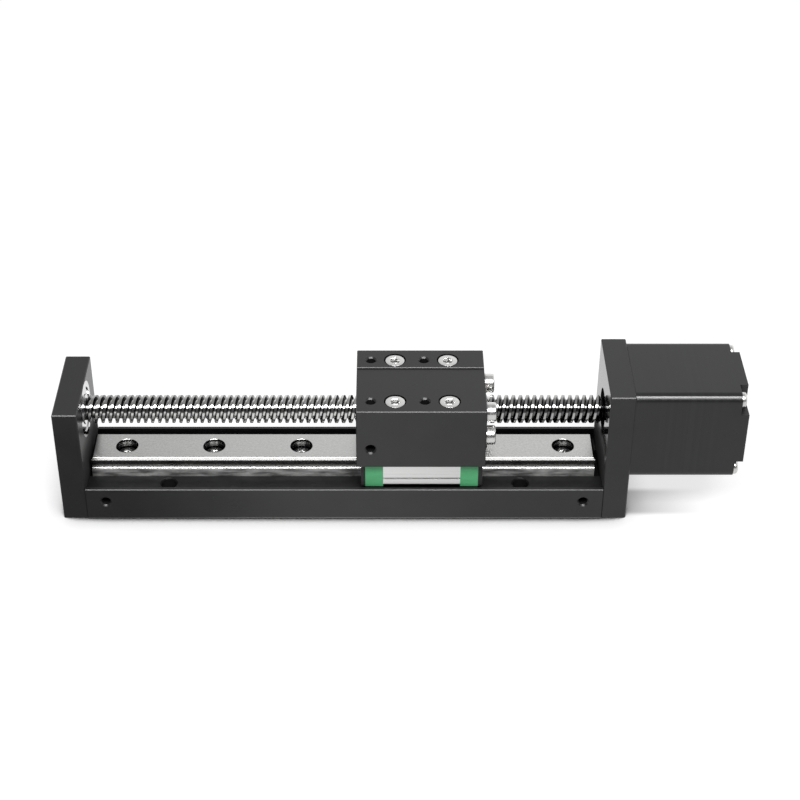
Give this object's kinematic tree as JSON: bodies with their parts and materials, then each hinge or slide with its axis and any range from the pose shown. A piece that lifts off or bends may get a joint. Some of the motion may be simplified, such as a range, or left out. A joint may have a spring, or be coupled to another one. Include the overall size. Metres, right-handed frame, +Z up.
{
  "type": "lead screw linear actuator",
  "caption": "Motorised screw slide: a square stepper motor turns a two start screw that drives a carriage along a profile rail on a channel base.",
  "frame": {"origin": "on the underside of the base, in its middle across, midway between the outer faces of the two end plates", "axes": "+X along the screw from the idle end plate to the motor, +Y across to the side away from the viewer in the picture, +Z up from the base to the carriage's top"},
  "size_m": [0.1914, 0.0328, 0.042],
  "materials": {
    "black_anodised": "fine blasted and anodised, satin",
    "motor_black": "fine textured paint, satin",
    "lamination_black": "painted stamped laminations",
    "rail_steel": "ground, satin",
    "guide_steel": "ground, satin",
    "green_plastic": "moulded, slight gloss",
    "seal_rubber": "matt",
    "bright_screws": "nickel plated, bright",
    "thread_steel": "rolled, polished",
    "bearing_steel": "polished",
    "nut_brass": "turned, satin",
    "copper_wire": "enamelled winding",
    "insulator_plastic": "moulded, matt",
    "magnet": "sintered, matt",
    "core_steel": "bare laminations",
    "socket_plastic": "moulded, matt"
  },
  "bodies": {
    "base": {"base_channel": "black_anodised", "idle_end_plate": "black_anodised", "motor_plate": "black_anodised", "plate_screws": "bright_screws", "guide_rail": "rail_steel", "rail_screws": "bright_screws", "idle_bearing_outer_ring": "bearing_steel", "idle_bearing_balls": "bearing_steel", "idle_bearing_shields": "bearing_steel", "front_bearing_outer_ring": "bearing_steel", "front_bearing_balls": "bearing_steel", "rear_bearing_outer_ring": "bearing_steel", "rear_bearing_balls": "bearing_steel", "motor_front_cap": "motor_black", "motor_rear_cap": "motor_black", "motor_screws": "bright_screws", "wave_washer": "bearing_steel", "stator_core": "lamination_black", "stator_insulator_front": "insulator_plastic", "stator_insulator_rear": "insulator_plastic", "stator_coils": "copper_wire", "connector_socket": "socket_plastic", "connector_pins": "bright_screws"},
    "screw": {"lead_screw": "thread_steel", "idle_bearing_inner_ring": "bearing_steel", "front_bearing_inner_ring": "bearing_steel", "rear_bearing_inner_ring": "bearing_steel", "rotor_stack_front": "core_steel", "rotor_stack_rear": "core_steel", "rotor_magnet": "magnet"},
    "carriage": {"carriage_block": "black_anodised", "carriage_screws": "bright_screws", "guide_block": "guide_steel", "guide_end_left": "green_plastic", "guide_end_right": "green_plastic", "guide_seal_left": "seal_rubber", "guide_seal_right": "seal_rubber", "end_cap_screws": "bright_screws", "guide_balls": "bearing_steel", "lead_nut": "nut_brass", "nut_screws": "bright_screws"}
  },
  "joints": [
    {"name": "carriage_slide", "type": "slide", "parent": "base", "child": "carriage", "axis": [1, 0, 0], "range_m": [-0.073, 0.027]},
    {"name": "screw_spin", "type": "hinge", "parent": "base", "child": "screw", "pos_m": [-0.073, 0, 0.0278], "axis": [1, 0, 0], "range_deg": [-6570, 2430]}
  ],
  "couplings": [
    {"joint": "screw_spin", "follows": "carriage_slide", "rad_per_m": 1570.8}
  ]
}
